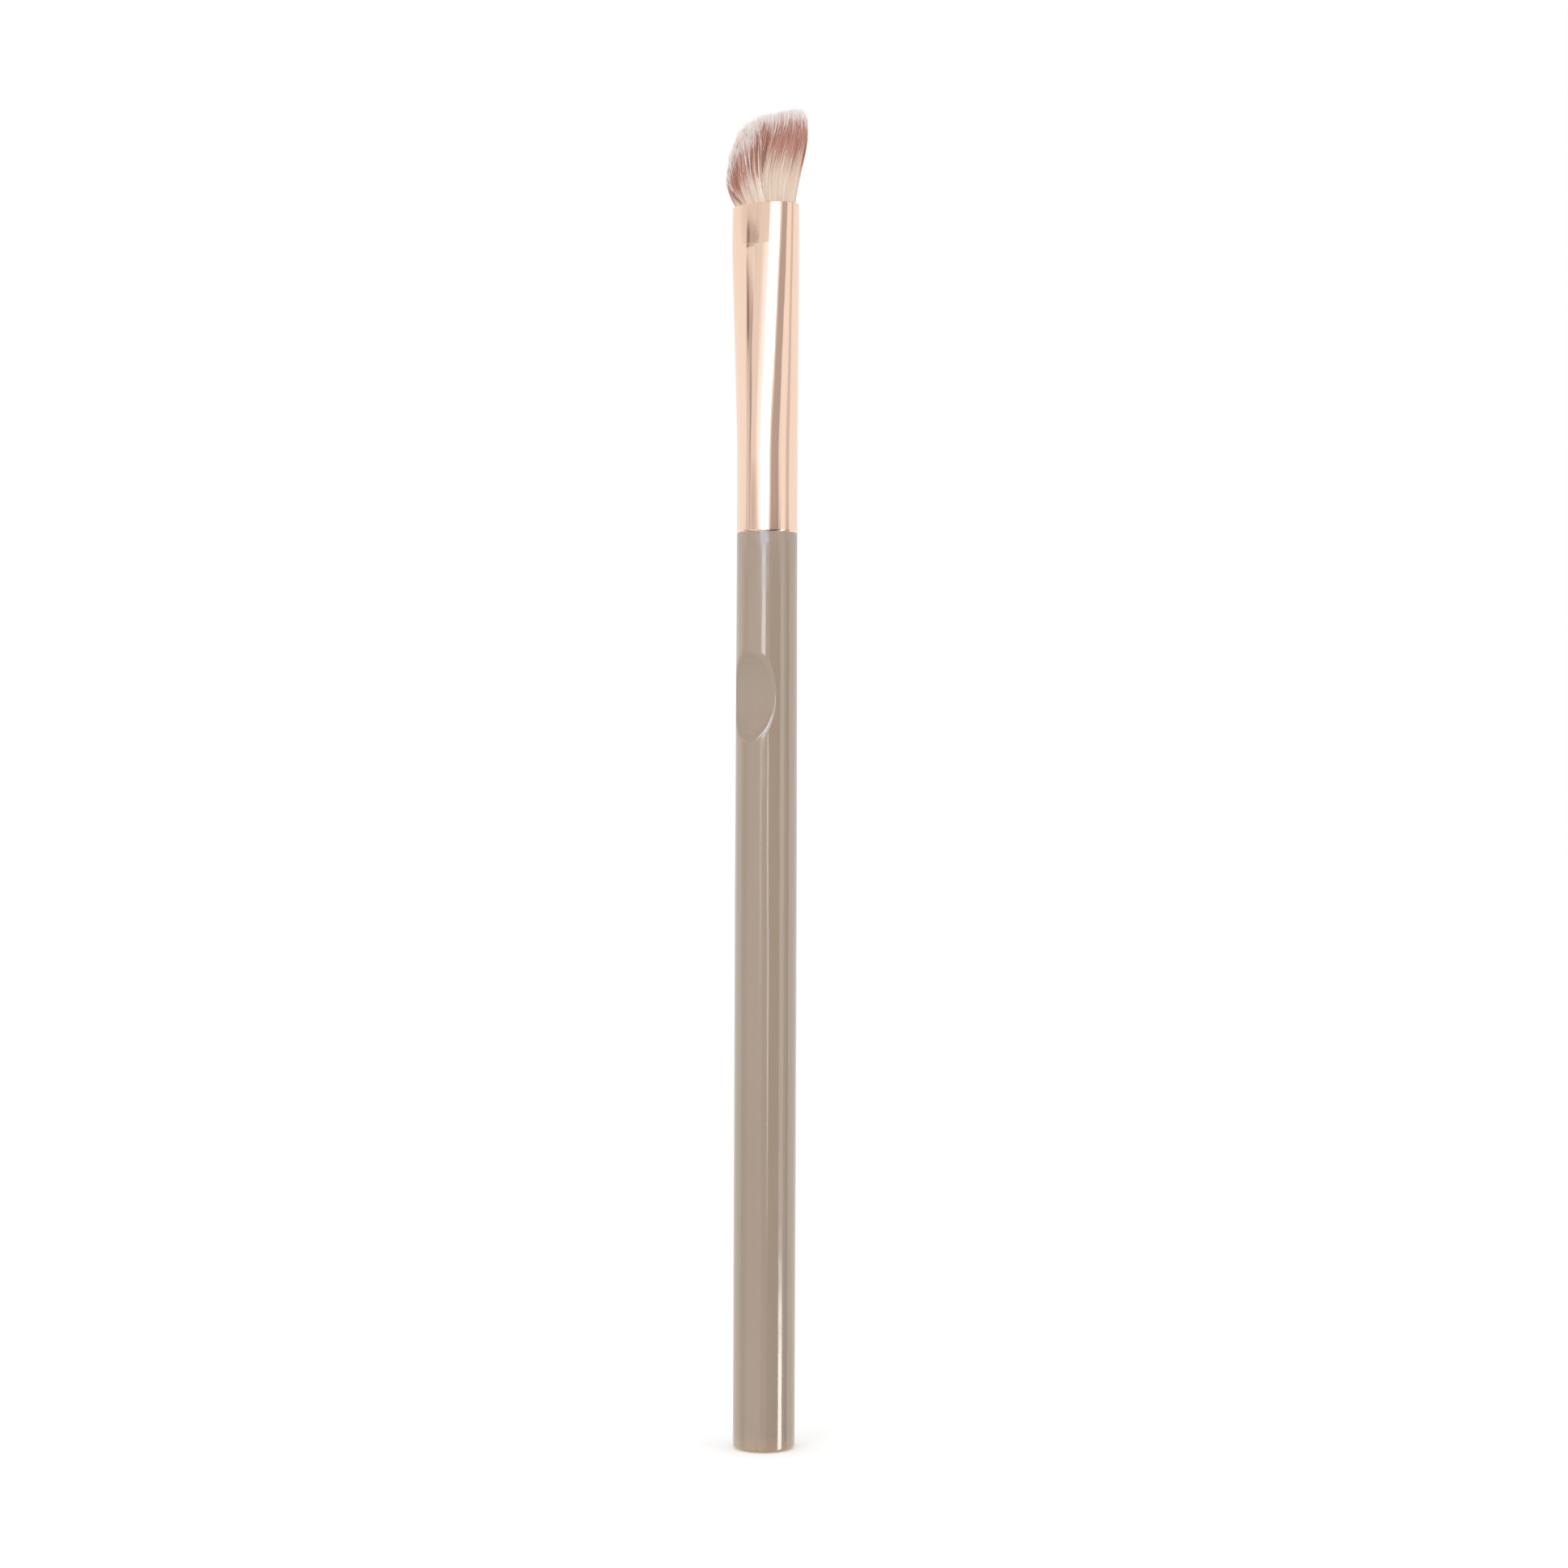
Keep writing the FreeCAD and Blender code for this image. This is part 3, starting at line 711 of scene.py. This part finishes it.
def make_rose_gold():
    """Polished rose gold with fine lines along the draw of the tube."""
    shader = Shader("rose_gold")
    tone = shader.noise(90, stretch=(1, 1, 0.2))
    drawn = shader.noise(2600, stretch=(1, 1, 0.012))
    return shader.finish(
        Base_Color=shader.ramp(tone, [(0.3, linear(244, 211, 188)), (0.7, linear(248, 218, 197))]),
        Metallic=1.0,
        Roughness=shader.remap(drawn, 0.3, 0.7, 0.04, 0.10),
        Normal=shader.bump(drawn, 0.035, 0.2 * MM),
    )


def make_fibre():
    """Fibre colour by the distance from the tip, varied from fibre to fibre: partly the fibres' own colour,
    partly painted shade between fibres.
    """
    shader = Shader("fibre")
    spot = shader.node("ShaderNodeUVMap", {"uv_map": FIBRE_MAP}).outputs["UV"]
    spot_parts = shader.node("ShaderNodeSeparateXYZ", Vector=spot)
    tint, share = spot_parts.outputs["X"], spot_parts.outputs["Y"]
    along = shader.ramp(share, [
        (0.00, linear(255, 250, 247)),
        (0.07, linear(250, 234, 229)),
        (0.15, linear(206, 155, 142)),
        (0.34, linear(204, 150, 134)),
        (0.52, linear(234, 206, 189)),
        (0.64, linear(242, 224, 206)),
    ])
    # Painted shade: darker fibres partly stand in for the shaded gaps between fibres, which cast no shadow
    # here
    shade = shader.ramp(tint, [(0.0, (0.58, 0.52, 0.51)), (0.4, (0.92, 0.9, 0.9)), (1.0, WHITE)])
    contrast = shader.ramp(share, [(0.0, grey(0.35)), (0.2, WHITE), (0.4, WHITE), (0.6, grey(0.4))])
    return shader.finish(
        Base_Color=shader.mix_colours(contrast, along, shade, "MULTIPLY"),
        Roughness=shader.remap(tint, 0.0, 1.0, 0.65, 0.45),
        Specular_IOR_Level=0.3,
    )


def make_inner(name, first, second, scale, smooth, rough, bump):
    """Plain mottled finish for a piece inside the ferrule."""
    shader = Shader(name)
    grain = shader.noise(scale, detail=3)
    return shader.finish(
        Base_Color=shader.ramp(grain, [(0.3, first), (0.7, second)]),
        Roughness=shader.remap(grain, 0.3, 0.7, smooth, rough),
        Normal=shader.bump(grain, bump, 0.2 * MM),
    )


# Studio

class Sky(Nodes):
    """World light: white to the camera, plain to matt surfaces, and with studio cards to glossy ones."""

    def __init__(self):
        self.world = bpy.data.worlds.new("studio")
        super().__init__(self.world)
        direction = self.node("ShaderNodeTexCoord").outputs["Generated"]
        right = self.dot(direction, CAMERA_RIGHT)
        front = self.dot(direction, TOWARDS_CAMERA)
        self.azimuth = self.math("ARCTAN2", right, front)
        self.elevation = self.math("ARCSINE", self.dot(direction, UP))

    def dot(self, direction, axis):
        """How far a direction goes along an axis."""
        made = self.node("ShaderNodeVectorMath", {"operation": "DOT_PRODUCT"})
        self.put(made.inputs[0], direction)
        self.put(made.inputs[1], axis)
        return made.outputs["Value"]

    def rise(self, angle, place, softness):
        """0 below an angle in degrees and 1 above it, with a soft step."""
        low, high = math.radians(place - softness / 2), math.radians(place + softness / 2)
        return self.remap(angle, low, high, 0.0, 1.0, "SMOOTHSTEP")

    def window(self, angle, low, high, low_softness, high_softness):
        """1 between two angles in degrees and 0 outside, with soft ends."""
        opening = self.rise(angle, low, low_softness)
        closing = self.rise(angle, high, high_softness)
        return self.math("SUBTRACT", opening, closing)

    def card(self, light, strength, sides, heights):
        """Light with one more card in it, between two azimuths from the camera and two elevations.

        Sides and heights are a low and a high angle in degrees, and the softness of either end.
        """
        across = self.window(self.azimuth, *sides)
        upright = self.window(self.elevation, *heights)
        return self.mix_numbers(self.math("MULTIPLY", across, upright), light, strength)

    def tone(self, light, is_glossy):
        """Colour of the light: cool in the bright cards that the metal shows and warm in its dark ones."""
        on_metal = self.window(self.elevation, LOW_REACH, METAL_REACH, 0.4, 1)
        on_metal = self.math("MULTIPLY", is_glossy, on_metal)
        glare = self.math("MULTIPLY", on_metal, self.math("SUBTRACT", light, 1.0))
        lack = self.math("MAXIMUM", self.math("SUBTRACT", 1.0, light), 0.0)
        shade = self.math("MULTIPLY", on_metal, self.math("MULTIPLY", lack, lack))
        return self.mix_colours(shade, self.mix_colours(glare, WHITE, GLARE_COLOUR), SHADE_COLOUR)

    def finish(self, glossy_light):
        """Lights the scene, with the cards for glossy surfaces only."""
        path = self.node("ShaderNodeLightPath").outputs
        is_glossy = path["Is Glossy Ray"]
        is_seen = self.math("MAXIMUM", path["Is Camera Ray"], path["Is Transmission Ray"])
        light = self.mix_numbers(is_glossy, AMBIENT_LIGHT, glossy_light)
        background = self.tree.nodes["Background"]
        self.put(background.inputs["Strength"], self.mix_numbers(is_seen, light, 1.0))
        self.put(background.inputs["Color"], self.tone(glossy_light, is_glossy))
        bpy.context.scene.world = self.world


def make_sky():
    """Studio round the brush: white all round, with dark and bright cards.

    The handle shows the elevations below LOW_REACH, the ferrule's tube those above it and the ferrule's
    mouth those above MOUTH_REACH. Each card has its strength, its sides and its heights.
    """
    handle = (-90, LOW_REACH, 1, 0.4)
    round_tube = (LOW_REACH, 10.4, 0.4, 0.8)
    oval_tube = (10.4, 11.8, 0.8, 0.5)
    tube = (LOW_REACH, MOUTH_REACH, 0.4, 0.3)
    mouth = (MOUTH_REACH, 40, 0.3, 20)
    cards = [
        # Ferrule below the knee, from left to right
        (0.78, (-86, -72, 6, 3), round_tube),
        (0.40, (-72, -66, 3, 3), round_tube),
        (0.50, (-76, -66, 3, 3), oval_tube),
        (0.20, (-82, -76, 3, 2), oval_tube),
        (0.88, (-66, -44, 3, 10), tube),
        (1.35, (-38, 6, 24, 5), tube),
        (0.55, (-64, -40, 3, 24), (LOW_REACH, 5.6, 0.4, 1.4)),
        (3.00, (-25, 6, 6, 5), tube),
        (0.53, (13, 43, 8, 2), tube),
        (0.72, (74, 90, 6, 4), tube),
        # Mouth of the ferrule, from left to right
        (0.85, (-100, -30, 30, 12), mouth),
        (0.53, (-80, -58, 3, 3), (MOUTH_REACH, 14.4, 0.3, 0.2)),
        (0.53, (-75, -62, 4, 4), (MOUTH_REACH, 14.65, 0.3, 0.2)),
        (0.30, (-82, -75, 3, 3), (MOUTH_REACH, 14.4, 0.3, 0.3)),
        (0.46, (-61, -57, 3, 3), (MOUTH_REACH, 14.3, 0.3, 0.6)),
        (3.00, (-27, 1, 8, 3), mouth),
        (0.70, (20, 46, 6, 10), mouth),
        (0.50, (11, 24, 3, 8), mouth),
        # Handle, from left to right
        (0.50, (-200, 200, 1, 1), handle),
        (1.10, (-200, -100, 1, 24), handle),
        (0.85, (-75, -12, 20, 8), handle),
        (0.15, (9, 52, 4, 3), handle),
        (1.30, (53, 71, 3, 3), handle),
        (0.10, (84, 92, 4, 4), handle),
        (1.10, (94, 200, 6, 1), handle),
        (4.50, (-18, -4, 8, 2), (1.5, LOW_REACH, 1, 0.4)),
        (2.50, (-22, -18, 2, 2), (-3, 1.5, 4, 1)),
        (3.25, (4, 9, 2, 2), (-2.5, 1.5, 3, 1)),
        (3.00, (7, 12, 2, 2), (-7, -2.5, 5, 3)),
        (8.00, (54, 69, 3, 3), (-30, -9.4, 2, 1.5)),
        # Rim and floor of the scoop
        (5.50, (-50, 4, 10, 8), (18, 42, 1.5, 8)),
        (0.50, (-110, -52, 20, 10), (17, 60, 3, 5)),
    ]
    sky = Sky()
    light = 1.0
    for strength, sides, heights in cards:
        light = sky.card(light, strength, sides, heights)
    sky.finish(light)


def make_floor():
    """White floor that keeps the shadow of the brush."""
    half = FLOOR_SIZE / 2
    corners = np.array([(-half, -half, 0), (half, -half, 0), (half, half, 0), (-half, half, 0)])
    floor = add_mesh("floor", corners, [[0, 1, 2, 3]])
    floor.visible_glossy = False
    shader = Shader("floor")
    is_camera = shader.node("ShaderNodeLightPath").outputs["Is Camera Ray"]
    material = shader.finish(
        Base_Color=FLOOR_COLOUR,
        Roughness=1.0,
        Specular_IOR_Level=0.0,
        Emission_Color=WHITE,
        Emission_Strength=shader.math("MULTIPLY", is_camera, FLOOR_GLOW),
    )
    floor.data.materials.append(material)


def add_lamp(name, azimuth, power):
    """Soft lamp aimed at the middle of the brush, placed by its angle in degrees from the camera's side."""
    lamp = bpy.data.lights.new(name, "AREA")
    lamp.shape = "DISK"
    lamp.size = LAMP_SIZE
    lamp.energy = power
    item = bpy.data.objects.new(name, lamp)
    turn = math.radians(azimuth)
    level = TOWARDS_CAMERA * math.cos(turn) + CAMERA_RIGHT * math.sin(turn)
    direction = level * math.cos(LAMP_ELEVATION) + UP * math.sin(LAMP_ELEVATION)
    item.location = direction * LAMP_DISTANCE + UP * CAMERA_LEVEL
    item.rotation_euler = direction.to_track_quat("Z", "Y").to_euler()
    item.visible_glossy = False
    item.visible_camera = False
    bpy.context.scene.collection.objects.link(item)


def make_camera():
    """Level camera on the side of the scoop, turned to the tall side of the tuft."""
    data = bpy.data.cameras.new("camera")
    data.lens = CAMERA_LENS
    data.clip_start = 10 * MM
    camera = bpy.data.objects.new("camera", data)
    place = TOWARDS_CAMERA * CAMERA_DISTANCE + CAMERA_RIGHT * CAMERA_SIDE_STEP + UP * CAMERA_LEVEL
    turn = TOWARDS_CAMERA.to_track_quat("Z", "Y").to_matrix().to_4x4()
    camera.matrix_world = Matrix.Translation(place) @ turn @ Matrix.Rotation(CAMERA_ROLL, 4, "Z")
    bpy.context.scene.collection.objects.link(camera)
    bpy.context.scene.camera = camera


def dress(item, material):
    """Gives a piece its only material."""
    item.data.materials.clear()
    item.data.materials.append(material)


# The brush

handle = make_handle()
dress(handle, make_lacquer())
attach(handle, "stem")
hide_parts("handle")

ferrule = make_ferrule()
dress(ferrule, make_rose_gold())
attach(ferrule, "stem")
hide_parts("ferrule")

fibre = make_fibre()
roots = make_held_fibres()
dress(roots, fibre)
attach(roots, "stem")
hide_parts("tuft_root")

for number, lock in enumerate(make_tuft(), start=1):
    dress(lock, fibre)
    # Thin fibres let light through, so that they cast no shadow on each other
    lock.visible_shadow = False
    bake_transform(lock)
    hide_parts(f"tuft_lock_{number}")

amber_tones = linear(214, 190, 140), linear(228, 208, 164)
thread_tones = linear(226, 220, 206), linear(240, 236, 224)
amber = make_inner("amber_adhesive", *amber_tones, scale=800, smooth=0.15, rough=0.35, bump=0.1)
thread = make_inner("tie_thread", *thread_tones, scale=6000, smooth=0.6, rough=0.85, bump=0.4)
for name, material, slot in (
    ("tenon_adhesive", amber, "adhesive"),
    ("root_epoxy", amber, "adhesive"),
    ("root_tie", thread, "thread"),
):
    dress(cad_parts[name], material)

make_sky()
make_floor()
add_lamp("key", azimuth=-35, power=1.6)
add_lamp("fill", azimuth=62, power=0.8)
make_camera()
bpy.context.scene.view_settings.view_transform = "Standard"
